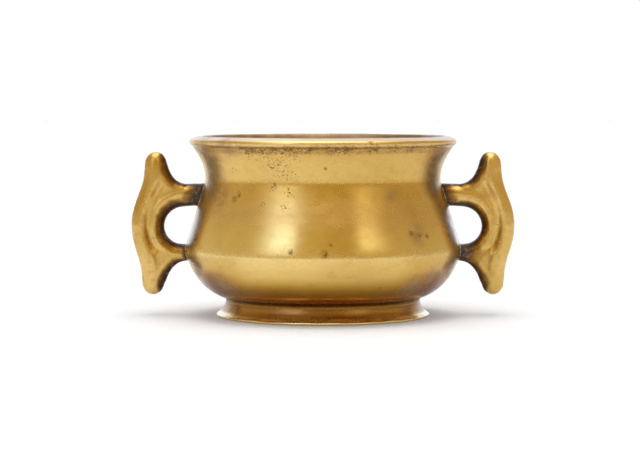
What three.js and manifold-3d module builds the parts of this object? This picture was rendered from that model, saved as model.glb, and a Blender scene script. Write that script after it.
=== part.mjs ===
// A cast bronze incense burner: a round bellied bowl on a low spreading foot, with a flaring lip,
// and a pair of upright halberd-shaped handles that were cast apart and joined to its sides.
// Millimetres, +Z up, origin under the middle of the foot, handles along X.
import * as THREE from "three";
import { mergeVertices } from "three/addons/utils/BufferGeometryUtils.js";
import Module from "manifold-3d";

// Bowl, outside
const totalHeight = 78;
const lipRadius = 57.9;
const lipTopRise = 1.1; // the lip's upper face climbs this far from its edge to its crest
const lipTopWidth = 4.6; // the crest lies this far inside the lip's widest line
const lipArrisRise = 1.4; // the upper face's edge is this far above the widest line
const lipArrisInset = 0.8; // and this far inside it
const lipBandHeight = 1.7; // the band under the widest line, which slants inwards
const lipBandInset = 1.5; // how far it is inside the widest line at its lower side
const neckRadius = 50.9;
const neckHeight = 59.5;
const bellyRadius = 59.7;
const bellyHeight = 28.8;
const waistRadius = 42.1; // the groove between bowl and foot
const waistHeight = 6.7;
const waistTurnRise = 2.1; // how far above the groove's middle the bowl turns outwards
const waistTurnReach = 2.2;

// Foot
const footRadius = 46.3;
const footEdgeHeight = 1.3; // the upright edge of the foot
const footBevel = 0.35;
const footRingWidth = 7.2; // the flat ring that the bowl stands on
const footRecess = 4.8; // how far the base is sunk inside the ring

// Walls
const wall = 3.7;
const baseThickness = 5.6;
const crestWidth = 1.1; // the rounded top of the lip

// Handles
const handleGap = 0.3; // between a handle's arms and the bowl
const holeRadius = 8.1; // the finger hole's outer half
const holeOffset = 1.1; // its centre stands this far outside the belly
const holeHeight = 39.2;
const upperArmHalf = 4.9; // half the height of the upper arm
const lowerArmHalf = 3.6;
const armHalfDepth = 4.8; // half the thickness front to back
const spineHalf = 4.8; // half the width of the upright spine
const spineHalfDepth = 5.7;
const tipHalfDepth = 4.7;
const spineReach = 17.4; // from the hole's centre out to the middle of the spine's bulge
const bulgeHalf = 4; // half the height of the bulge
const shoulderReach = 12.7; // where the bulge meets the straight upper part
const shoulderRise = 18.3;
const heelReach = 14; // and where it meets the lower part
const heelDrop = 16.3;
const upperTipReach = 11.7;
const upperTipRise = 27.4; // from the hole's centre up to the middle of the upper tip
const lowerTipReach = 13;
const lowerTipDrop = 25.7;
const webHalfDepth = 4.2; // the flat web between spine and arms
const webRound = 1.9; // how far its edges are rounded over
const webStart = -1.4; // where the web's curved edges leave the arms, from the hole's centre

// Smoothness
const turnSteps = 66;
const outerSteps = 6;
const innerSteps = 4;

const wasm = await Module();
wasm.setup();

function toSolid(geometry) {
  const bare = geometry.clone();
  for (const name of ["normal", "uv"]) bare.deleteAttribute(name);
  const merged = mergeVertices(bare, 1e-3);
  return new wasm.Manifold(
    new wasm.Mesh({
      numProp: 3,
      vertProperties: merged.attributes.position.array,
      triVerts: new Uint32Array(merged.index.array),
    }),
  );
}

function toGeometry(solid) {
  const mesh = solid.getMesh();
  return new THREE.BufferGeometry()
    .setAttribute("position", new THREE.BufferAttribute(mesh.vertProperties, 3))
    .setIndex(new THREE.BufferAttribute(mesh.triVerts, 1));
}

// The outside of the bowl and foot, from the foot's edge up to the edge of the lip's upper face.
function outerProfile() {
  const widestHeight = totalHeight - lipTopRise - lipArrisRise;
  const bandFoot = [lipRadius - lipBandInset, widestHeight - lipBandHeight];
  const path = new THREE.Path();
  path.moveTo(footRadius - footBevel, 0);
  path.lineTo(footRadius, footBevel);
  path.lineTo(footRadius, footEdgeHeight - footBevel);
  path.lineTo(footRadius - footBevel, footEdgeHeight);
  path.quadraticCurveTo(waistRadius + 0.8, footEdgeHeight + 1.9, waistRadius, waistHeight);
  path.lineTo(waistRadius + 0.2 * waistTurnReach, waistHeight + 0.6 * waistTurnRise);
  path.lineTo(waistRadius + waistTurnReach, waistHeight + waistTurnRise);
  path.bezierCurveTo(
    waistRadius + 12.9, waistHeight + 5.7,
    bellyRadius, bellyHeight - 3.4,
    bellyRadius, bellyHeight,
  );
  path.bezierCurveTo(
    bellyRadius, bellyHeight + 5.6,
    neckRadius, neckHeight - 4.3,
    neckRadius, neckHeight,
  );
  path.bezierCurveTo(
    neckRadius, neckHeight + 7,
    bandFoot[0] - 1.7, bandFoot[1] - 3.1,
    bandFoot[0], bandFoot[1],
  );
  path.lineTo(lipRadius, widestHeight);
  path.lineTo(lipRadius - lipArrisInset, widestHeight + lipArrisRise);
  return path.getPoints(outerSteps);
}

// The lip's upper face and the inside of the bowl, from the crest down to the middle of the floor.
function innerProfile() {
  const crestRadius = lipRadius - lipTopWidth;
  const floorHeight = footRecess + baseThickness;
  const innerBelly = bellyRadius - wall;
  const innerNeck = neckRadius - wall;
  const path = new THREE.Path();
  path.moveTo(crestRadius, totalHeight);
  path.lineTo(crestRadius - crestWidth, totalHeight - 0.25);
  path.bezierCurveTo(
    crestRadius - crestWidth - 1.6, totalHeight - 4,
    innerNeck, neckHeight + 7,
    innerNeck, neckHeight,
  );
  path.bezierCurveTo(
    innerNeck, neckHeight - 5,
    innerBelly, bellyHeight + 6,
    innerBelly, bellyHeight,
  );
  path.bezierCurveTo(
    innerBelly, bellyHeight - 1.5,
    innerBelly - 2.8, floorHeight + 3.4,
    waistRadius - wall, floorHeight,
  );
  path.lineTo(0, floorHeight);
  return path.getPoints(innerSteps);
}

// The underside, from the middle of the sunk base out to the foot's ring.
function underProfile() {
  const ringInside = footRadius - footRingWidth;
  return [
    new THREE.Vector2(0, footRecess),
    new THREE.Vector2(ringInside - 0.8, footRecess),
    new THREE.Vector2(ringInside, footRecess - 0.8),
    new THREE.Vector2(ringInside, 0),
  ];
}

// THREE.LatheGeometry turns about Y, so the solid is stood up on Z.
function turned(profile) {
  const geometry = new THREE.LatheGeometry(profile, turnSteps);
  return geometry.rotateX(Math.PI / 2);
}

function vesselGeometry() {
  return turned([...underProfile(), ...outerProfile(), ...innerProfile()]);
}

// The bowl's outside as a full solid, a little larger all round: it trims the arms' ends.
function vesselEnvelope(growth) {
  const outside = outerProfile().map((p) => new THREE.Vector2(p.x + growth, p.y));
  const top = new THREE.Vector2(0, totalHeight);
  return turned([new THREE.Vector2(0, 0), ...outside, top]);
}

const holeCentre = new THREE.Vector2(bellyRadius + holeOffset, holeHeight);

// A point in the handle's plane, given from the middle of the finger hole.
function inHandlePlane(reach, rise) {
  return new THREE.Vector3(holeCentre.x + reach, 0, holeCentre.y + rise);
}

// A bar that follows a curve in the XZ plane, with rounded ends. half(t) and depth(t) give half its
// width in the plane and half its thickness along Y; a squareness over 2 flattens its faces.
function bar(curve, half, depth, squareness, steps) {
  const geometry = new THREE.CapsuleGeometry(1, 1, 3, 14, steps);
  const position = geometry.attributes.position;
  const flattened = (share) => Math.sign(share) * Math.abs(share) ** (2 / squareness);
  for (let i = 0; i < position.count; i++) {
    const y = position.getY(i);
    const along = THREE.MathUtils.clamp(y, -0.5, 0.5);
    const t = along + 0.5;
    const tangent = curve.getTangentAt(t);
    const across = new THREE.Vector3(-tangent.z, 0, tangent.x);
    const ring = Math.hypot(position.getX(i), position.getZ(i)) || 1;
    const sideways = ring * flattened(position.getX(i) / ring) * half(t);
    const outwards = ring * flattened(position.getZ(i) / ring) * depth(t);
    const point = curve.getPointAt(t);
    point.addScaledVector(across, sideways).addScaledVector(tangent, (y - along) * half(t));
    position.setXYZ(i, point.x, point.y + outwards, point.z);
  }
  return geometry;
}

// The middle line of the spine, from the upper tip to the lower one.
const spineLine = new THREE.CatmullRomCurve3([
  inHandlePlane(upperTipReach, upperTipRise),
  inHandlePlane(shoulderReach, shoulderRise),
  inHandlePlane(spineReach, bulgeHalf),
  inHandlePlane(spineReach, -bulgeHalf),
  inHandlePlane(heelReach, -heelDrop),
  inHandlePlane(lowerTipReach, -lowerTipDrop),
]);

// The upright spine, thickest in the middle.
function spine() {
  const depth = (t) => THREE.MathUtils.lerp(tipHalfDepth, spineHalfDepth, Math.sin(Math.PI * t));
  return bar(spineLine, () => spineHalf, depth, 2.5, 18);
}

function armHalfAt(share) {
  return THREE.MathUtils.lerp(upperArmHalf, lowerArmHalf, share);
}

// A line along the two arms and the bend that joins them round the finger hole. The arms run in
// to armReach; across is 0 along the hole's edge and 1 along the arms' middle line.
function loopPoints(armReach, across) {
  const bendSteps = 8;
  const points = [inHandlePlane(armReach, holeRadius + across * upperArmHalf)];
  for (let i = 0; i <= bendSteps; i++) {
    const share = i / bendSteps;
    const angle = Math.PI * (0.5 - share);
    const radius = holeRadius + across * armHalfAt(share);
    points.push(inHandlePlane(radius * Math.cos(angle), radius * Math.sin(angle)));
  }
  points.push(inHandlePlane(armReach, -holeRadius - across * lowerArmHalf));
  return points;
}

function armLoop() {
  const insideBowl = neckRadius / 2 - holeCentre.x;
  const curve = new THREE.CatmullRomCurve3(loopPoints(insideBowl, 1), false, "centripetal");
  const half = (t) => armHalfAt(THREE.MathUtils.smoothstep(t, 0.35, 0.65));
  return bar(curve, half, () => armHalfDepth, 2.4, 34);
}

// One hollow-curved edge of the web, between a tip's inner side and an arm.
function webEdge(tip, arm) {
  const drop = arm.z - tip.z;
  return new THREE.CubicBezierCurve(
    new THREE.Vector2(tip.x, tip.z),
    new THREE.Vector2(tip.x - 1.1, tip.z + drop * 0.43),
    new THREE.Vector2(arm.x + 5.6, arm.z - drop * 0.06),
    new THREE.Vector2(arm.x, arm.z),
  );
}

// The web fills the corners between spine and arms and the valley beside the finger hole. Its
// edges are the two hollow curves, the spine's middle line and a line inside the arms' loop.
function web() {
  const upperTip = inHandlePlane(upperTipReach - spineHalf, upperTipRise - 0.4);
  const upperArm = inHandlePlane(webStart, holeRadius + 2 * upperArmHalf);
  const lowerTip = inHandlePlane(lowerTipReach - spineHalf - 0.5, -lowerTipDrop + 0.8);
  const lowerArm = inHandlePlane(webStart, -holeRadius - 2 * lowerArmHalf);
  const outline = [
    ...webEdge(upperTip, upperArm).getPoints(10).reverse(),
    ...spineLine.getPoints(14).map((p) => new THREE.Vector2(p.x, p.z)),
    ...webEdge(lowerTip, lowerArm).getPoints(10),
    ...loopPoints(webStart, 0.3).reverse().map((p) => new THREE.Vector2(p.x, p.z)),
  ];
  const geometry = new THREE.ExtrudeGeometry(new THREE.Shape(outline), {
    depth: 2 * (webHalfDepth - webRound),
    steps: 1,
    bevelThickness: webRound,
    bevelSize: webRound,
    bevelOffset: -webRound,
    bevelSegments: 3,
  });
  return geometry.translate(0, 0, webRound - webHalfDepth).rotateX(Math.PI / 2);
}

function handleGeometry() {
  const whole = toSolid(spine()).add(toSolid(armLoop())).add(toSolid(web()));
  return toGeometry(whole.subtract(toSolid(vesselEnvelope(handleGap))));
}

const polished = new THREE.MeshStandardMaterial({
  color: 0xc79b52,
  roughness: 0.28,
  metalness: 1,
});
const handled = new THREE.MeshStandardMaterial({
  color: 0xb8893a,
  roughness: 0.4,
  metalness: 1,
});

const burner = new THREE.Group();

const vessel = new THREE.Mesh(vesselGeometry(), polished);
vessel.name = "vessel";
burner.add(vessel);

const handleShape = handleGeometry();
for (const [name, turn] of [["handle_right", 0], ["handle_left", Math.PI]]) {
  const handle = new THREE.Mesh(handleShape, handled);
  handle.name = name;
  handle.rotation.z = turn;
  burner.add(handle);
}

export default burner;
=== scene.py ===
"""A cast bronze incense burner on a white table: polished bowl, worn handles, brown patination, and
painted shade and dark reflections.
"""

import math

import bmesh
import bpy
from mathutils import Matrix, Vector, geometry, noise


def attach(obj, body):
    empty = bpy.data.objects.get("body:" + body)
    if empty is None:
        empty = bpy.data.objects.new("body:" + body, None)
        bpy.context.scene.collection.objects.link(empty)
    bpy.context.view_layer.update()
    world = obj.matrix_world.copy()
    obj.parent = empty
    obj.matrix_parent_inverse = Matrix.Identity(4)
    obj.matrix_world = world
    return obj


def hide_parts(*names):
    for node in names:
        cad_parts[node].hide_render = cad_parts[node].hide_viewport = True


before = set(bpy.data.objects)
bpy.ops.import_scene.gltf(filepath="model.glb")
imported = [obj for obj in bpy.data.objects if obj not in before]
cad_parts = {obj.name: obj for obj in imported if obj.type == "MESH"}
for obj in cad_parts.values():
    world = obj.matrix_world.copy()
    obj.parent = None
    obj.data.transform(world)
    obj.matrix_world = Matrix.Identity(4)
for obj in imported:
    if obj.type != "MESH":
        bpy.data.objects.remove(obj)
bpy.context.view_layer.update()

MM = 0.001

# The bowl, in millimetres, within a few tenths of the solids
TOTAL_HEIGHT = 78
LIP_RADIUS = 57.9
LIP_WIDEST_HEIGHT = 75.6
LIP_ARRIS = (57.1, 76.9)  # the edge between the lip's upper face and its outer band
LIP_TOP_WIDTH = 4.6
LIP_BAND_FOOT = (56.4, 73.8)  # where the outer band starts
NECK_RADIUS = 50.9
NECK_HEIGHT = 59.5
BELLY_RADIUS = 59.7
BELLY_HEIGHT = 28.8
WAIST_RADIUS = 42.1
WAIST_HEIGHT = 6.7
WAIST_TURN_RISE = 2.1
WAIST_TURN_REACH = 2.2
FOOT_RADIUS = 46.3
FOOT_EDGE_HEIGHT = 1.3
FOOT_BEVEL = 0.6  # worn rounder than it was cast
FOOT_RING_WIDTH = 7.2
FOOT_RECESS = 4.8
WALL = 3.7
BASE_THICKNESS = 5.6
CREST_WIDTH = 1.1
TURN_STEPS = 360
UNEVENNESS = 0.12  # how far hand finishing left the bowl from a true round
UNEVEN_FROM = 3  # the height where that starts
EDGE_WAVE = 0.3  # how far the foot's worn edge rises and falls
NICKS = ((20.5, 0.8, 1.5), (-14.5, 0.3, 1.2))  # in the lip: azimuth, depth and reach

# The handles, in millimetres; places in a handle are given from its finger hole's middle
HANDLE_VOXEL = 0.36
HANDLE_SMOOTHING = 9
TIP_SMOOTHING = 30
RELIEF_SMOOTHING = 3
HOLE_CENTRE = (60.8, 39.2)  # across and up
HOLE_RADIUS = 8.1
UPPER_ARM_HALF = 4.9
LOWER_ARM_HALF = 3.6
ARM_HALF_DEPTH = 4.8
ARM_SQUARENESS = 2.4  # over 2 flattens the arms' faces
ARM_END = 1.2  # this near the bowl an arm keeps the shape of its cut end
HANDLE_GAP = 0.3
SOLDER_THICKNESS = 0.4
TIPS = (  # what is smoothed most: middles and reaches
    ((11.7, 30), 4.5), ((7.5, 26), 5), ((8.5, -25.5), 6), ((13, -28.5), 4.5),
)
VALLEY = ((10.6, 17.5), (12.0, 13.5), (14.0, 9.2), (15.2, 4.8), (15.6, 0), (14.6, -5.5), (12.6, -10))
RIDGE = (
    (12.3, 30), (12.5, 21.5), (13.1, 17.5), (14.8, 12.2), (16.9, 6.5), (17.6, 0), (16.9, -6.5),
    (15.2, -13), (13.6, -19), (12.8, -28),
)
VALLEY_DEPTH = 0.85
VALLEY_HALF = 3.0
SLOPE_FALL = 0.26  # how much thinner the loop is at the finger hole, as a share
FACET_FALL = 0.28  # how far the facet outside the ridge leans back, as a share of the thickness
FACET_WIDTH = 5.5
UPPER_HOLLOW = ((6.9, 27), (5.8, 23.1), (4.2, 18.4), (-1.4, 17.9))  # from tip to arm
LOWER_HOLLOW = ((7.7, -24.9), (6.6, -20.8), (4.2, -15.9), (-1.4, -15.3))
HOLLOW_WIDTH = 4.2  # of the band along those hollow edges, painted dark as a reflection of the bowl
HOLLOW_LEAN = 0.3
SLOPE_WIDTH = {"left": 5.6, "right": 3.4}  # of the slope round the finger hole, painted dark as shade
JOINT_PATINA = {"left": (11, 3.5), "right": (7, 15)}  # its reach on the upper and lower arm

# Casting pits and stains on the bowl: azimuth in degrees from the front towards the right,
# height and reach in millimetres
PIT_FIELDS = (
    (-33, 74, 12), (-24, 73, 15), (-15, 73, 16), (-5, 75, 12), (3, 75, 11), (11, 75, 11),
    (21, 75, 9), (31, 75.5, 8), (40, 75, 9), (-22, 68, 13), (-17, 64, 12), (-24, 58, 6),
    (-15, 56, 7), (-17.5, 49.5, 5), (-28, 50.5, 4), (-46, 64.5, 3.5), (-43, 54.5, 4.5),
)
STAINS = (
    # the first one darkens the nick in the lip's band
    (20.9, 76.3, 2.4), (-44.5, 52.3, 2.4), (-13, 31.6, 1.9), (0.5, 30.8, 2.6), (-18.5, 30.3, 0.7),
    (3, 34.6, 1.1), (39.5, 38.6, 1.9), (48.5, 37, 1.8), (44, 37.4, 1.3), (1, 65.6, 1.1),
    (25.5, 16.2, 0.8), (-42, 54, 1.6),
)
HAZES = (
    (53.5, 20.3, 7.5), (44, 15, 10), (-50, 15, 11), (43, 38, 8), (33, 53, 6), (-56, 53, 10),
    (-62, 71, 15), (-45, 73.5, 9), (60, 70, 9), (56, 4.5, 5), (-66, 5, 4), (70, 17, 9),
)
DARK_REFLECTION_REACH = (  # heights, and how far in front of and behind a handle the painted dark reflection reaches there
    (14, 0), (19, 27), (23, 32), (28, 30), (33, 26), (38, 27), (43, 29), (50, 30), (56, 32),
    (63, 33), (69, 33), (73, 24), (74.5, 0),
)
DARK_REFLECTION_FADE = 9.0
DARK_REFLECTION_MOST = 40.0  # more than any of those reaches
JOINTS = ((90, 52, 12), (90, 28, 9), (-90, 52, 12), (-90, 28, 9))  # where the arms meet the bowl

# The camera, as far from the burner as the photograph's perspective shows
CAMERA_DISTANCE = 966
CAMERA_PITCH = 3.6
AIM = (-1.3, 37.1)  # across and up
PIXELS_PER_MM = 2.3
IMAGE_WIDTH = 640
SENSOR = 36

# Light, as radiance
FRONT_LIGHT = (0.60, 0.43, 0.135)
SIDE_LIGHT = (0.66, 0.53, 0.30)
LEFT_BOX_LIGHT = (1.45, 1.55, 1.75)
RIGHT_BOX_LIGHT = (1.3, 1.17, 0.82)
FRONT_BOX_LIGHT = (3.0, 2.9, 2.6)
BEHIND_LIGHT = (1.0, 1.18, 1.65)
OVERHEAD_LIGHT = (2.1, 2.1, 2.1)
SOFT_LIGHT = 0.25  # on the table, from all round
DOWN_LIGHT = 6.2  # and from straight above
FLOOR_GLOW = 0.2
TABLE_RADIUS = 6  # in metres

# Finishes
# From the foot up to the belly these stops paint light and shade: a bright painted highlight on the
# foot's edge, a painted highlight band near 5, and dark browns from 2.9 to 17.5 for the reflected
# shade of the belly's underside and the table below it.
BOWL_COLOURS_AND_PAINTED_LIGHT = (  # by height in millimetres
    (0.4, (0.60, 0.44, 0.20)), (0.9, (0.90, 0.72, 0.38)), (1.3, (1.0, 0.86, 0.50)),
    (2.2, (1.0, 0.80, 0.42)), (2.9, (0.50, 0.31, 0.07)), (3.8, (0.43, 0.25, 0.05)),
    (5.0, (0.45, 0.25, 0.09)), (6.3, (0.30, 0.16, 0.045)), (7.6, (0.27, 0.14, 0.03)),
    (9.2, (0.27, 0.09, 0.002)), (11.1, (0.30, 0.11, 0.004)), (13.0, (0.37, 0.17, 0.012)),
    (14.8, (0.45, 0.23, 0.027)), (17.5, (0.61, 0.38, 0.08)), (20.5, (0.77, 0.54, 0.175)),
    (27.0, (0.82, 0.60, 0.22)), (29.5, (0.86, 0.67, 0.29)), (36.0, (0.86, 0.67, 0.29)),
    (46.0, (0.75, 0.53, 0.215)), (51.0, (0.75, 0.53, 0.20)), (54.5, (0.74, 0.51, 0.165)),
    (72.0, (0.73, 0.50, 0.16)), (76.0, (0.80, 0.58, 0.26)),
)
DULL_AND_SHADE_TINT = (0.74, 0.64, 0.48)  # multiplies the gold where it is darker: duller in clouds, darker to the right, painted shade low at the sides
GOLD = (0.62, 0.405, 0.115)
RUBBED_GOLD = (0.72, 0.49, 0.17)
MOTTLED_GOLD = (0.40, 0.25, 0.07)
# DEEP_BROWN and the three after it colour the handles' joint patination and their painted shade and
# reflections alike
DEEP_BROWN = (0.26, 0.115, 0.012)
PATINA_AND_SHADE = (0.075, 0.032, 0.014)
GREY_PATINA_AND_SHADE = (0.055, 0.050, 0.042)
COPPER_PATINA_AND_SHADE = (0.36, 0.20, 0.12)
PIT_BROWN = (0.15, 0.07, 0.014)
HAZE_BROWN = (0.36, 0.235, 0.135)
# the brown of the painted dark reflection beside the handles
DARK_REFLECTION_BROWN = (0.15, 0.085, 0.035)
# the brown of the darker band just under the lip
UNDER_LIP_BROWN = (0.36, 0.21, 0.06)
INSIDE_PALE = (0.46, 0.32, 0.19)
INSIDE_DARK = (0.26, 0.17, 0.10)
PALE_SOLDER = (0.62, 0.58, 0.50)
SOLDER_GRIME = (0.12, 0.10, 0.075)


def bezier(start, first, second, end, steps):
    """Points of one cubic curve in the plane, without its first point."""
    knots = [Vector((*p, 0)) for p in (start, first, second, end)]
    return [(p.x, p.y) for p in geometry.interpolate_bezier(*knots, steps + 1)][1:]


def hollow(start, pull, end, steps):
    """Points of one quadratic curve, without its first point."""
    first = [s + (p - s) * 2 / 3 for s, p in zip(start, pull)]
    second = [e + (p - e) * 2 / 3 for e, p in zip(end, pull)]
    return bezier(start, first, second, end, steps)


def outer_profile():
    """The outside of the bowl and foot, from the foot's edge up to the lip's edge."""
    waist = (WAIST_RADIUS, WAIST_HEIGHT)
    belly = (BELLY_RADIUS, BELLY_HEIGHT)
    neck = (NECK_RADIUS, NECK_HEIGHT)
    foot_top = (FOOT_RADIUS - FOOT_BEVEL, FOOT_EDGE_HEIGHT)
    turn = (WAIST_RADIUS + WAIST_TURN_REACH, WAIST_HEIGHT + WAIST_TURN_RISE)
    points = [
        (FOOT_RADIUS - FOOT_BEVEL, 0),
        (FOOT_RADIUS - 0.1, FOOT_BEVEL * 0.4),
        (FOOT_RADIUS, FOOT_BEVEL),
        (FOOT_RADIUS, FOOT_EDGE_HEIGHT - FOOT_BEVEL),
        (FOOT_RADIUS - 0.1, FOOT_EDGE_HEIGHT - FOOT_BEVEL * 0.4),
        foot_top,
    ]
    points += hollow(foot_top, (WAIST_RADIUS + 0.8, FOOT_EDGE_HEIGHT + 1.9), waist, 16)
    points += hollow(waist, (WAIST_RADIUS, turn[1] - 0.7), turn, 8)
    points += bezier(
        turn,
        (WAIST_RADIUS + 12.9, WAIST_HEIGHT + 5.7),
        (BELLY_RADIUS, BELLY_HEIGHT - 3.4),
        belly,
        30,
    )
    points += bezier(
        belly, (BELLY_RADIUS, BELLY_HEIGHT + 5.6), (NECK_RADIUS, NECK_HEIGHT - 4.3), neck, 30
    )
    foot = LIP_BAND_FOOT
    points += bezier(neck, (NECK_RADIUS, NECK_HEIGHT + 7), (foot[0] - 1.7, foot[1] - 3.1), foot, 20)
    widest = (LIP_RADIUS, LIP_WIDEST_HEIGHT)
    points += bezier(foot, (foot[0] + 0.5, foot[1] + 0.3), (widest[0], widest[1] - 1), widest, 6)
    return points + hollow(widest, (widest[0], LIP_ARRIS[1] - 0.4), LIP_ARRIS, 5)


def inner_profile():
    """The lip's upper face and the inside, from the lip's edge down to the middle of the floor."""
    crest = (LIP_RADIUS - LIP_TOP_WIDTH, TOTAL_HEIGHT)
    mouth = (crest[0] - CREST_WIDTH, TOTAL_HEIGHT - 0.25)
    neck = (NECK_RADIUS - WALL, NECK_HEIGHT)
    belly = (BELLY_RADIUS - WALL, BELLY_HEIGHT)
    floor_height = FOOT_RECESS + BASE_THICKNESS
    floor_edge = (WAIST_RADIUS - WALL, floor_height)
    points = bezier(
        LIP_ARRIS, (LIP_ARRIS[0] - 0.5, LIP_ARRIS[1] + 0.25), (crest[0] + 1.6, crest[1]), crest, 8
    )
    points += bezier(crest, (crest[0] - 0.5, crest[1]), (mouth[0] + 0.4, mouth[1]), mouth, 4)
    points += bezier(mouth, (mouth[0] - 1.6, mouth[1] - 4), (neck[0], neck[1] + 7), neck, 18)
    points += bezier(neck, (neck[0], neck[1] - 5), (belly[0], belly[1] + 6), belly, 18)
    points += bezier(
        belly, (belly[0], belly[1] - 1.5), (belly[0] - 2.8, floor_height + 3.4), floor_edge, 18
    )
    points += [(floor_edge[0] * share, floor_height) for share in (0.8, 0.6, 0.4, 0.2, 0)]
    return points


def under_profile():
    """The underside, from the middle of the sunk base out to the foot's ring."""
    ring = FOOT_RADIUS - FOOT_RING_WIDTH
    points = [((ring - 0.8) * share, FOOT_RECESS) for share in (0, 0.25, 0.5, 0.75, 1)]
    return points + [(ring, FOOT_RECESS - 0.8), (ring, 0)]


def vessel_radius(height):
    """The bowl's outer radius at a height, both in millimetres."""
    profile = outer_profile()
    for (r0, z0), (r1, z1) in zip(profile[5:], profile[6:]):
        if z0 <= height <= z1:
            return r0 + (r1 - r0) * (height - z0) / max(z1 - z0, 1e-6)
    return LIP_RADIUS if height > LIP_WIDEST_HEIGHT else FOOT_RADIUS


def smooth_step(value, low, high):
    """A smooth change from 0 at low to 1 at high."""
    share = min(max((value - low) / (high - low), 0), 1)
    return share * share * (3 - 2 * share)


def on_bowl(azimuth, height):
    """A point on the bowl's outside, in metres."""
    turn = math.radians(azimuth)
    radius = vessel_radius(height)
    return radius * math.sin(turn) * MM, -radius * math.cos(turn) * MM, height * MM


def finished(bm, name, material, attributes):
    """Puts a bmesh and its named point values into a new object that rides on the one body."""
    mesh = bpy.data.meshes.new(name)
    bm.to_mesh(mesh)
    bm.free()
    mesh.shade_smooth()
    for key, values in attributes.items():
        mesh.attributes.new(key, "FLOAT", "POINT").data.foreach_set("value", values)
    piece = bpy.data.objects.new(name, mesh)
    bpy.context.scene.collection.objects.link(piece)
    mesh.materials.append(material)
    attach(piece, "root")
    return piece


def wear_foot_edge(bm):
    """The foot's edge is worn: it rises and falls a little and is nicked."""
    for vert in bm.verts:
        radius = math.hypot(vert.co.x, vert.co.y) / MM
        if radius > FOOT_RADIUS - 1 and 0 < vert.co.z < 1.6 * FOOT_EDGE_HEIGHT * MM:
            around = Vector((vert.co.x, vert.co.y, 0))
            wave = noise.noise(around * 60) * EDGE_WAVE + noise.noise(around * 190) * EDGE_WAVE / 2
            vert.co.z *= 1 + wave / FOOT_EDGE_HEIGHT
            vert.co -= around.normalized() * abs(noise.noise(around * 110)) * EDGE_WAVE * MM


def nick_lip(bm):
    """The small nicks in the lip's outer band."""
    for azimuth, depth, reach in NICKS:
        centre = Vector(on_bowl(azimuth, LIP_ARRIS[1] - 0.2))
        for vert in bm.verts:
            distance = (vert.co - centre).length / MM
            if distance < reach:
                share = 1 - smooth_step(distance, 0, reach)
                vert.co -= Vector((vert.co.x, vert.co.y, 0)).normalized() * depth * share * MM


def inside_share(bm):
    """For each point, 1 on the brown inside and underside and 0 on the polished outside."""
    values = [0.0] * len(bm.verts)
    outer_at = {}
    for index, vert in enumerate(bm.verts):
        height = round(vert.co.z / MM, 2)
        if height not in outer_at:
            outer_at[height] = vessel_radius(min(height, LIP_WIDEST_HEIGHT))
        depth = outer_at[height] - math.hypot(vert.co.x, vert.co.y) / MM
        if height > FOOT_RECESS + 0.5 and vert.co.z < (TOTAL_HEIGHT - 0.1) * MM:
            values[index] = smooth_step(depth, 2.4, 5.2 if height > 76 else 3)
        elif height < FOOT_RECESS + 0.5:
            values[index] = smooth_step(depth, 4, 6)
    return values


def make_vessel(material):
    bm = bmesh.new()
    line = under_profile() + outer_profile() + inner_profile()
    verts = [bm.verts.new((r * MM, 0, z * MM)) for r, z in line]
    edges = [bm.edges.new(pair) for pair in zip(verts, verts[1:])]
    bmesh.ops.spin(
        bm,
        geom=verts + edges,
        axis=(0, 0, 1),
        cent=(0, 0, 0),
        angle=math.tau,
        steps=TURN_STEPS,
        use_merge=True,
        use_duplicate=False,
    )
    bmesh.ops.remove_doubles(bm, verts=bm.verts, dist=1e-6)
    bmesh.ops.recalc_face_normals(bm, faces=bm.faces)
    inside = inside_share(bm)
    wear_foot_edge(bm)
    nick_lip(bm)
    for vert in bm.verts:
        if vert.co.z > UNEVEN_FROM * MM:
            wave = noise.noise(vert.co * 38)
            vert.co += vert.normal * wave * UNEVENNESS * MM
    vessel = finished(bm, "Burner_Vessel", material, {"inside": inside})
    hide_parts("vessel")


def remeshed(node):
    """The node's closed surface in small even faces, as a bmesh."""
    bm = bmesh.new()
    bm.from_mesh(node.data)
    bmesh.ops.remove_doubles(bm, verts=bm.verts, dist=1e-6)
    mesh = bpy.data.meshes.new("draft")
    bm.to_mesh(mesh)
    bm.free()
    draft = bpy.data.objects.new("draft", mesh)
    bpy.context.scene.collection.objects.link(draft)
    remesh = draft.modifiers.new("even", "REMESH")
    remesh.mode = "VOXEL"
    remesh.voxel_size = HANDLE_VOXEL * MM
    graph = bpy.context.evaluated_depsgraph_get()
    even = bpy.data.meshes.new_from_object(draft.evaluated_get(graph))
    bpy.data.objects.remove(draft)
    bm = bmesh.new()
    bm.from_mesh(even)
    return bm


def in_handle(co):
    """How far a point is out and up from the middle of its handle's finger hole."""
    return abs(co.x) / MM - HOLE_CENTRE[0], co.z / MM - HOLE_CENTRE[1]


def reach_on(line, rise):
    """How far out a line through the handle is at one height."""
    for (reach0, rise0), (reach1, rise1) in zip(line, line[1:]):
        if rise1 <= rise <= rise0:
            return reach0 + (reach1 - reach0) * (rise0 - rise) / (rise0 - rise1)
    return line[0][0] if rise > 0 else line[-1][0]


def distance_to_line(point, line):
    here = Vector(point)
    nearest = math.inf
    for start, end in zip(line, line[1:]):
        start, end = Vector(start), Vector(end)
        along = end - start
        share = min(max((here - start).dot(along) / along.length_squared, 0), 1)
        nearest = min(nearest, (here - start - along * share).length)
    return nearest


def hollow_edges():
    """The handle's two hollow edges as lines, from the tips to the arms' ends."""
    return [
        [(knots[0][0] + 0.6, knots[0][1] * 1.2), knots[0], *bezier(*knots, 10), (-12, knots[-1][1])]
        for knots in (UPPER_HOLLOW, LOWER_HOLLOW)
    ]


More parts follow.
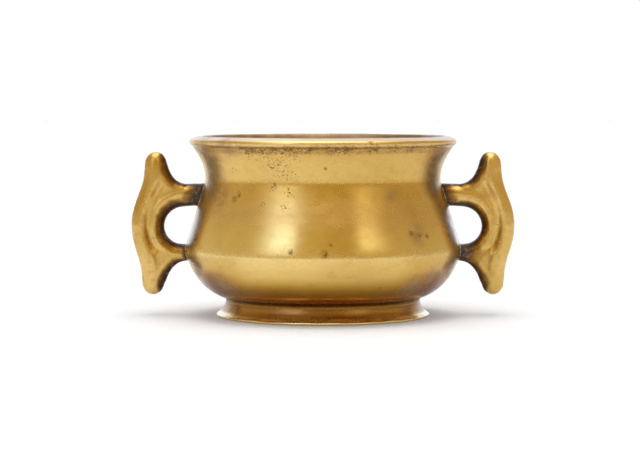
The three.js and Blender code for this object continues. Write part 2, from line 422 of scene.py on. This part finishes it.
def near_hollow(place, edges):
    """1 on the hollow edges, falling to 0 across a band that narrows along the arms; it leans the
    surface and is painted dark as a reflection of the bowl.
    """
    width = HOLLOW_WIDTH * (0.3 + 0.7 * smooth_step(place[0], -3, 5))
    distance = min(distance_to_line(place, edge) for edge in edges)
    return 1 - smooth_step(distance, 0, width)


def from_hole(reach, rise):
    """The distance from the finger hole's edge, along the bend and the arms alike."""
    return math.hypot(max(reach, 0), rise) - HOLE_RADIUS


def clearance(co, radii):
    """How far a point stands off the bowl, in millimetres."""
    height = round(co.z / MM, 1)
    if height not in radii:
        radii[height] = vessel_radius(height)
    return math.hypot(co.x, co.y) / MM - radii[height]


def smooth_out(bm, verts, times):
    for _ in range(times):
        bmesh.ops.smooth_vert(
            bm, verts=verts, factor=0.5, use_axis_x=True, use_axis_y=True, use_axis_z=True
        )


def carve_relief(free, slope_width):
    """The loop slopes down to the finger hole; a valley parts it from the spine's ridge, and the
    facet outside the ridge leans back."""
    edges = hollow_edges()
    for vert in free:
        reach, rise = in_handle(vert.co)
        facing = smooth_step(abs(vert.normal.y), 0.3, 0.8)
        slope = 1 - smooth_step(from_hole(reach, rise), 0, slope_width)
        slope *= smooth_step(reach, -6, 4)
        outside = smooth_step(reach - reach_on(RIDGE, rise), -0.6, FACET_WIDTH)
        hollow_side = near_hollow((reach, rise), edges) * smooth_step(reach, -3, 5)
        vert.co.y *= 1 - SLOPE_FALL * slope - FACET_FALL * outside - HOLLOW_LEAN * hollow_side
        near = max(0, 1 - distance_to_line((reach, rise), VALLEY) / VALLEY_HALF)
        valley = VALLEY_DEPTH * near * near * (3 - 2 * near) * smooth_step(18 - abs(rise - 3), 0, 7)
        vert.co.y -= math.copysign(1, vert.co.y) * valley * facing * MM


def handle_patina_and_shade(bm, side, radii):
    """Dark patination at the joints, and painted shade and reflection on faces turned to the bowl,
    into the finger hole and downwards.
    """
    outwards = -1 if side == "left" else 1
    edges = hollow_edges()
    values = []
    for vert in bm.verts:
        reach, rise = in_handle(vert.co)
        # painted shade on the slope into the finger hole
        width = SLOPE_WIDTH[side] * (0.6 + 0.4 * smooth_step(reach, -3, 5))
        dark = 1.2 * (1 - smooth_step(from_hole(reach, rise), 0, width))
        # painted reflection of the bowl on faces turned towards it, and along the hollow edges
        inward = -vert.normal.x * outwards
        dark = max(dark, 1.3 * smooth_step(inward, 0.38, 0.9))
        dark = max(dark, 1.15 * near_hollow((reach, rise), edges))
        spread = JOINT_PATINA[side][0 if rise > 0 else 1]
        dark = max(dark, 1.05 * (1 - smooth_step(clearance(vert.co, radii), 0, spread)))
        # painted shade on faces turned downwards near the hole
        under = smooth_step(-vert.normal.z, 0.35, 0.85) * smooth_step(7 - reach, 0, 4)
        values.append(max(dark, under))
    return values


def make_handle(side, material):
    bm = remeshed(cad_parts["handle_" + side])
    radii = {}
    free = [vert for vert in bm.verts if clearance(vert.co, radii) > ARM_END]
    smooth_out(bm, free, HANDLE_SMOOTHING)
    for middle, reach in TIPS:
        tip = [v for v in free if (Vector(in_handle(v.co)) - Vector(middle)).length < reach]
        smooth_out(bm, tip, TIP_SMOOTHING)
    bm.normal_update()
    carve_relief(free, SLOPE_WIDTH[side])
    smooth_out(bm, free, RELIEF_SMOOTHING)
    for vert in bm.verts:
        if clearance(vert.co, radii) < 2 * HANDLE_GAP:
            inwards = Vector((vert.co.x, vert.co.y, 0)).normalized()
            vert.co -= inwards * 2 * HANDLE_GAP * MM
    bm.normal_update()
    patina_and_shade = handle_patina_and_shade(bm, side, radii)
    handle = finished(bm, "Burner_Handle_" + side.capitalize(), material, {"patina_and_shade": patina_and_shade})
    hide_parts("handle_" + side)


def make_solder(side, arm, material):
    """The thin bead of solder round the end of one arm."""
    outwards = -1 if side == "left" else 1
    half = UPPER_ARM_HALF if arm == "Upper" else LOWER_ARM_HALF
    middle = HOLE_CENTRE[1] + (HOLE_RADIUS + half) * (1 if arm == "Upper" else -1)
    steps = 48
    curve = bpy.data.curves.new("bead", "CURVE")
    curve.dimensions = "3D"
    curve.bevel_depth = SOLDER_THICKNESS / 2 * MM
    curve.bevel_resolution = 2
    spline = curve.splines.new("POLY")
    spline.points.add(steps - 1)
    spline.use_cyclic_u = True
    for i, point in enumerate(spline.points):
        angle = math.tau * i / steps
        across, up = math.cos(angle), math.sin(angle)
        y = ARM_HALF_DEPTH * math.copysign(abs(across) ** (2 / ARM_SQUARENESS), across)
        z = middle + half * math.copysign(abs(up) ** (2 / ARM_SQUARENESS), up)
        x = outwards * math.sqrt((vessel_radius(z) + 0.1) ** 2 - y * y)
        point.co = (x * MM, y * MM, z * MM, 1)
        point.radius = 1 + 0.5 * noise.noise(Vector((x, y, z)) * 0.7)
    bead = bpy.data.objects.new(f"Burner_Solder_{side.capitalize()}_{arm}", curve)
    bpy.context.scene.collection.objects.link(bead)
    curve.materials.append(material)
    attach(bead, "root")


class Graph:
    """Short ways to add and join shader nodes. Inputs are named, or i0, i1 and on by their order."""

    def __init__(self, tree):
        self.tree = tree
        tree.nodes.clear()

    def add(self, kind, **inputs):
        node = self.tree.nodes.new("ShaderNode" + kind)
        for name, value in inputs.items():
            self.feed(node, name, value)
        return node

    def feed(self, node, name, value):
        key = int(name[1:]) if name[0] == "i" and name[1:].isdigit() else name.replace("_", " ")
        if isinstance(value, bpy.types.NodeSocket):
            self.tree.links.new(value, node.inputs[key])
        else:
            node.inputs[key].default_value = value

    def math(self, operation, *values, clamp=False):
        node = self.add("Math", **{f"i{i}": v for i, v in enumerate(values)})
        node.operation = operation
        node.use_clamp = clamp
        return node.outputs[0]

    def ramp(self, value, low, high, to_low=0.0, to_high=1.0):
        """A smooth change from to_low at low to to_high at high."""
        node = self.add(
            "MapRange", Value=value, From_Min=low, From_Max=high, To_Min=to_low, To_Max=to_high
        )
        node.interpolation_type = "SMOOTHSTEP"
        return node.outputs["Result"]

    def between(self, value, low, high, blur):
        """1 between low and high, falling to 0 over blur outside them."""
        rise = self.ramp(value, low - blur, low)
        fall = self.ramp(value, high + blur, high)
        return self.math("MULTIPLY", rise, fall)

    def blend(self, factor, first, second):
        node = self.tree.nodes.new("ShaderNodeMix")
        node.data_type = "RGBA"
        self.tree.links.new(factor, node.inputs["Factor"])
        for name, value in (("A", first), ("B", second)):
            socket = next(s for s in node.inputs if s.name == name and s.type == "RGBA")
            if isinstance(value, bpy.types.NodeSocket):
                self.tree.links.new(value, socket)
            else:
                socket.default_value = (*value, 1)
        return next(s for s in node.outputs if s.type == "RGBA")

    def noise(self, vector, scale, detail=3.0, roughness=0.5):
        node = self.add("TexNoise", Vector=vector, Scale=scale, Detail=detail, Roughness=roughness)
        return node.outputs[0]

    def colours(self, value, stops, top):
        """A colour for each value from 0 to top, blended between the stops."""
        node = self.add("ValToRGB", Fac=self.math("DIVIDE", value, top))
        points = node.color_ramp.elements
        while len(points) < len(stops):
            points.new(1.0)
        for point, (place, colour) in zip(points, stops):
            point.position = place / top
            point.color = (*colour, 1)
        return node.outputs["Color"]

    def stretched(self, vector, factors):
        return self.add("Mapping", Vector=vector, Scale=factors).outputs["Vector"]

    def near(self, place, spots, core=0.0):
        """1 at the nearest of the spots on the bowl, 0 beyond its reach."""
        total = None
        for azimuth, height, reach in spots:
            away = self.add("VectorMath", i0=place, i1=on_bowl(azimuth, height))
            away.operation = "DISTANCE"
            share = self.ramp(away.outputs["Value"], reach * MM, core * reach * MM)
            total = share if total is None else self.math("MAXIMUM", total, share)
        return total

    def attribute(self, name):
        node = self.add("Attribute")
        node.attribute_name = name
        return node.outputs["Fac"]

    def bumped(self, height, strength, distance):
        node = self.add("Bump", Height=height, Strength=strength, Distance=distance)
        return node.outputs["Normal"]

    def surface(self, colour, metallic, roughness, normal):
        shader = self.add(
            "BsdfPrincipled",
            Base_Color=colour,
            Metallic=metallic,
            Roughness=roughness,
            Normal=normal,
        )
        self.add("OutputMaterial", Surface=shader.outputs[0])


def new_material(name):
    material = bpy.data.materials.new(name)
    material.use_nodes = True
    return material, Graph(material.node_tree)


def bowl_gold(g, height, axes, aside, clouds, fine_clouds):
    """Colour by height, with painted highlights and shade from the foot up to the belly; darker to
    the right, duller in clouds, painted shade low at the sides.
    """
    wander = g.math("MULTIPLY", g.math("SUBTRACT", clouds, 0.5), 5.0)
    # the sides take the painted under-belly shade from higher up
    wander = g.math("SUBTRACT", wander, g.math("MULTIPLY", aside, 4.5))
    wander = g.math("MULTIPLY", wander, g.between(height, 14, 20, 5))
    gold = g.colours(g.math("ADD", height, wander), BOWL_COLOURS_AND_PAINTED_LIGHT, TOTAL_HEIGHT)
    rightwards = g.ramp(axes.outputs[0], -0.03, 0.03)
    dullness_and_shade = g.math("ADD", g.math("MULTIPLY", rightwards, 0.5), g.ramp(clouds, 0.45, 0.75, 0, 0.3))
    dullness_and_shade = g.math("ADD", dullness_and_shade, g.ramp(fine_clouds, 0.5, 0.75, 0, 0.25))
    # painted shade low at the sides, below the handles
    low_sides = g.math("MULTIPLY", aside, g.between(height, 14, 27, 3))
    dullness_and_shade = g.math("ADD", dullness_and_shade, g.math("MULTIPLY", low_sides, 0.8))
    dullness_and_shade = g.math("MULTIPLY", dullness_and_shade, g.ramp(height, 8, 18), clamp=True)
    dulled_and_shaded = g.add("MixRGB", Fac=dullness_and_shade, Color1=gold, Color2=(*DULL_AND_SHADE_TINT, 1))
    dulled_and_shaded.blend_type = "MULTIPLY"
    return dulled_and_shaded.outputs[0]


def dark_reflection_by_handles(g, place, height, axes, clouds, fine_clouds):
    """How dark the bowl is painted beside the handles, as a reflection of dark surroundings, and
    round where the arms meet it.
    """
    depth = g.math("MULTIPLY", g.math("ABSOLUTE", axes.outputs[1]), 1 / MM)
    depth = g.math("ADD", depth, g.math("MULTIPLY", g.math("SUBTRACT", clouds, 0.5), 5.0))
    greys = [(level, (reach / DARK_REFLECTION_MOST,) * 3) for level, reach in DARK_REFLECTION_REACH]
    reach = g.colours(height, greys, TOTAL_HEIGHT)
    dark_reflection_and_joints = g.math("SUBTRACT", g.math("MULTIPLY", reach, DARK_REFLECTION_MOST), depth)
    dark_reflection_and_joints = g.ramp(dark_reflection_and_joints, 0, DARK_REFLECTION_FADE)
    dark_reflection_and_joints = g.math("MULTIPLY", dark_reflection_and_joints, g.ramp(depth, 8, 20))
    dark_reflection_and_joints = g.math("MULTIPLY", dark_reflection_and_joints, g.ramp(axes.outputs[0], -0.03, 0.03, 0.8, 1.0))
    dark_reflection_and_joints = g.math("MAXIMUM", dark_reflection_and_joints, g.near(place, JOINTS, 0.2))
    return g.math("MULTIPLY", dark_reflection_and_joints, g.ramp(fine_clouds, 0.2, 0.6, 0.65, 1.0))


def casting_pits(g, place, height, under_lip_band, clouds, speck_noise, crust_noise):
    """Fine specks in the fields, and a crust of them in the corner under the lip."""
    fields = g.near(place, PIT_FIELDS)
    density = g.math("MULTIPLY", g.math("POWER", fields, 1.3), 0.19)
    density = g.math("ADD", density, g.math("MULTIPLY", under_lip_band, 0.05))
    density = g.math("ADD", density, g.ramp(clouds, 0.4, 0.7, -0.02, 0.03))
    specks = g.ramp(g.math("ADD", speck_noise, density), 0.68, 0.79)
    specks = g.math("MULTIPLY", specks, g.ramp(height, 75.0, 74.2))
    crust = g.ramp(g.math("ADD", crust_noise, g.math("MULTIPLY", fields, 0.13)), 0.62, 0.76)
    crust = g.math("MULTIPLY", crust, g.between(height, 72.6, 74.2, 2.2))
    return g.math("MAXIMUM", specks, crust, clamp=True)


def polished_bowl_material():
    """Gold bronze, polished where hands and cloth reach, brown where they don't; the colours also
    paint shade low down and dark reflections beside the handles.
    """
    material, g = new_material("Polished_Bronze")
    place = g.add("TexCoord").outputs["Object"]
    axes = g.add("SeparateXYZ", Vector=place)
    height = g.math("MULTIPLY", axes.outputs[2], 1 / MM)
    aside = g.ramp(g.math("ABSOLUTE", axes.outputs[0]), 0.028, 0.05)
    inside = g.attribute("inside")

    clouds = g.noise(place, 42, 4)
    fine_clouds = g.noise(g.stretched(place, (1, 1, 1.6)), 170, 5, 0.6)
    speck_noise = g.noise(g.stretched(place, (1, 1, 1.2)), 1250, 3, 0.7)
    crust_noise = g.noise(g.stretched(place, (1, 1, 1.8)), 480, 4, 0.7)

    haze = g.math("MULTIPLY", g.near(place, HAZES), g.ramp(fine_clouds, 0.28, 0.6))
    # painted dark reflection beside the handles, and darker round the arms' joints
    dark_reflection_and_joints = dark_reflection_by_handles(g, place, height, axes, clouds, fine_clouds)
    # a darker band just under the lip
    under_lip_band = g.between(height, 72.4, 73.9, 1.6)
    under_lip_darkening = g.math("MULTIPLY", under_lip_band, g.ramp(crust_noise, 0.3, 0.7, 0.35, 0.8))
    stains = g.math("MULTIPLY", g.near(place, STAINS, 0.2), g.ramp(speck_noise, 0.36, 0.6))
    pits = casting_pits(g, place, height, under_lip_band, clouds, speck_noise, crust_noise)
    old = g.ramp(g.noise(place, 90, 5), 0.3, 0.7)

    colour = bowl_gold(g, height, axes, aside, clouds, fine_clouds)
    colour = g.blend(g.math("MULTIPLY", haze, 0.8), colour, HAZE_BROWN)
    colour = g.blend(g.math("MULTIPLY", dark_reflection_and_joints, 0.8), colour, DARK_REFLECTION_BROWN)
    colour = g.blend(under_lip_darkening, colour, UNDER_LIP_BROWN)
    colour = g.blend(g.math("MULTIPLY", stains, 0.85), colour, PIT_BROWN)
    colour = g.blend(g.math("MULTIPLY", pits, 0.85), colour, PIT_BROWN)
    colour = g.blend(inside, colour, g.blend(old, INSIDE_PALE, INSIDE_DARK))

    roughness = g.ramp(fine_clouds, 0.3, 0.7, 0.17, 0.25)
    for where, extra in (
        (g.ramp(height, 39, 45), 0.08),
        (g.ramp(height, 9.5, 6), 0.08),
        (g.between(height, 27, 30, 4), 0.07),
        (haze, 0.14),
        (dark_reflection_and_joints, 0.12),
        (inside, 0.10),
    ):
        roughness = g.math("ADD", roughness, g.math("MULTIPLY", where, extra))
    roughness = g.math("ADD", roughness, g.math("MULTIPLY", pits, 0.35), clamp=True)
    metallic = g.math("SUBTRACT", 1.0, g.math("MULTIPLY", pits, 0.6))

    turning = g.noise(g.stretched(place, (6, 6, 1100)), 1, 2)
    relief = g.math("ADD", g.math("MULTIPLY", turning, 0.04), g.math("MULTIPLY", fine_clouds, 0.3))
    relief = g.math("SUBTRACT", relief, g.math("MULTIPLY", pits, 0.6))
    g.surface(colour, metallic, roughness, g.bumped(relief, 0.35, 0.0003))
    return material


def worn_handle_material():
    """Satin gold bronze where fingers rub; near-black brown for the joints' patination and as
    painted shade and reflection on the sides.
    """
    material, g = new_material("Worn_Bronze")
    place = g.add("TexCoord").outputs["Object"]
    patina_and_shade = g.attribute("patina_and_shade")
    clouds = g.noise(place, 75, 4)
    mottle = g.noise(place, 330, 5, 0.65)
    speckle = g.noise(place, 1100, 3, 0.7)

    gold = g.blend(g.ramp(clouds, 0.35, 0.68), GOLD, RUBBED_GOLD)
    gold = g.blend(g.math("MULTIPLY", g.ramp(mottle, 0.50, 0.72), 0.4), gold, MOTTLED_GOLD)
    gold = g.blend(g.math("MULTIPLY", g.ramp(speckle, 0.66, 0.74), 0.7), gold, PIT_BROWN)

    uneven = g.math("MULTIPLY", g.math("SUBTRACT", mottle, 0.5), 1.1)
    uneven = g.math("ADD", uneven, g.math("SUBTRACT", clouds, 0.5))
    # the point values carry joint patination together with painted shade and reflection
    edge = g.math("ADD", patina_and_shade, g.math("MULTIPLY", uneven, g.ramp(patina_and_shade, 0.0, 0.3)))
    brown = g.ramp(edge, 0.0, 0.55)
    dark = g.ramp(edge, 0.45, 1.05)
    tint = g.blend(g.ramp(clouds, 0.45, 0.62, 0, 0.8), PATINA_AND_SHADE, GREY_PATINA_AND_SHADE)
    tint = g.blend(g.ramp(mottle, 0.54, 0.66, 0, 0.7), tint, COPPER_PATINA_AND_SHADE)
    colour = g.blend(g.math("MULTIPLY", brown, 0.85), gold, DEEP_BROWN)
    colour = g.blend(dark, colour, tint)

    metallic = g.math("SUBTRACT", 1.0, g.math("MULTIPLY", dark, 0.3))
    roughness = g.ramp(mottle, 0.3, 0.7, 0.25, 0.38)
    roughness = g.math("ADD", roughness, g.math("MULTIPLY", dark, 0.08), clamp=True)
    relief = g.math("ADD", g.math("MULTIPLY", mottle, 0.5), g.math("MULTIPLY", clouds, 0.3))
    g.surface(colour, metallic, roughness, g.bumped(relief, 0.3, 0.0004))
    return material


def solder_material():
    """Pale solder with grime in its hollows."""
    material, g = new_material("Pale_Solder")
    place = g.add("TexCoord").outputs["Object"]
    grime = g.ramp(g.noise(place, 420, 4, 0.7), 0.42, 0.6)
    colour = g.blend(grime, PALE_SOLDER, SOLDER_GRIME)
    roughness = g.ramp(grime, 0, 1, 0.35, 0.6)
    g.surface(colour, 0.7, roughness, g.bumped(grime, 0.3, 0.0002))
    return material


def white_floor_material():
    """White paper with a faint glow from below, so that shadows stay light."""
    material, g = new_material("White_Table")
    paper = g.add("BsdfDiffuse", Color=(0.9, 0.9, 0.9, 1))
    glow = g.add("Emission", Color=(1, 1, 1, 1), Strength=1.0)
    both = g.add("MixShader", Fac=FLOOR_GLOW, i1=paper.outputs[0], i2=glow.outputs[0])
    g.add("OutputMaterial", Surface=both.outputs[0])
    return material


def make_floor():
    bm = bmesh.new()
    bmesh.ops.create_circle(bm, cap_ends=True, segments=96, radius=TABLE_RADIUS)
    mesh = bpy.data.meshes.new("Table")
    bm.to_mesh(mesh)
    bm.free()
    floor = bpy.data.objects.new("Table", mesh)
    mesh.materials.append(white_floor_material())
    bpy.context.scene.collection.objects.link(floor)


def make_studio():
    """A white studio: bright above and behind, warm and dim in front, with two tall soft boxes."""
    world = bpy.data.worlds.new("Studio")
    bpy.context.scene.world = world
    world.use_nodes = True
    g = Graph(world.node_tree)
    towards = g.add("TexCoord").outputs["Generated"]
    axes = g.add("SeparateXYZ", Vector=towards)
    x, y, z = axes.outputs[0], axes.outputs[1], axes.outputs[2]
    elevation = g.math("DEGREES", g.math("ARCSINE", z))
    azimuth = g.math("DEGREES", g.math("ARCTAN2", x, g.math("MULTIPLY", y, -1.0)))
    aside = g.math("ABSOLUTE", azimuth)
    colour = g.blend(g.ramp(aside, 25, 90), FRONT_LIGHT, SIDE_LIGHT)
    colour = g.blend(g.ramp(aside, 136, 154), colour, BEHIND_LIGHT)
    left_box = g.math("MULTIPLY", g.ramp(azimuth, -64, -38), g.ramp(azimuth, -23, -29))
    left_box = g.math("MULTIPLY", left_box, g.ramp(elevation, 9, 20))
    colour = g.blend(left_box, colour, LEFT_BOX_LIGHT)
    right_box = g.math("MULTIPLY", g.ramp(azimuth, 30, 36), g.ramp(azimuth, 64, 42))
    right_box = g.math("MULTIPLY", right_box, g.ramp(elevation, 12, 26))
    colour = g.blend(right_box, colour, RIGHT_BOX_LIGHT)
    front_box = g.math("MULTIPLY", g.ramp(aside, 28, 14), g.ramp(elevation, 43, 49))
    colour = g.blend(front_box, colour, FRONT_BOX_LIGHT)
    colour = g.blend(g.ramp(elevation, 50, 66), colour, OVERHEAD_LIGHT)
    paths = g.add("LightPath")
    grey = g.ramp(elevation, 58, 76, SOFT_LIGHT, DOWN_LIGHT)
    colour = g.blend(paths.outputs["Is Diffuse Ray"], colour, grey)
    colour = g.blend(paths.outputs["Is Camera Ray"], colour, (1.0, 1.0, 1.0))
    shader = g.add("Background", Color=colour, Strength=1.0)
    g.add("OutputWorld", Surface=shader.outputs[0])


def make_camera():
    camera = bpy.data.objects.new("Camera", bpy.data.cameras.new("Camera"))
    bpy.context.scene.collection.objects.link(camera)
    pitch = math.radians(CAMERA_PITCH)
    camera.location = (
        AIM[0] * MM,
        -CAMERA_DISTANCE * MM * math.cos(pitch),
        (AIM[1] + CAMERA_DISTANCE * math.sin(pitch)) * MM,
    )
    camera.rotation_euler = (math.radians(90) - pitch, 0, 0)
    camera.data.sensor_width = SENSOR
    camera.data.lens = PIXELS_PER_MM * CAMERA_DISTANCE * SENSOR / IMAGE_WIDTH
    bpy.context.scene.camera = camera


make_camera()
make_studio()
make_floor()
make_vessel(polished_bowl_material())
worn_bronze = worn_handle_material()
solder = solder_material()
for side in ("left", "right"):
    make_handle(side, worn_bronze)
    for arm in ("Upper", "Lower"):
        make_solder(side, arm, solder)

bpy.context.scene.view_settings.view_transform = "Standard"
bpy.context.view_layer.update()
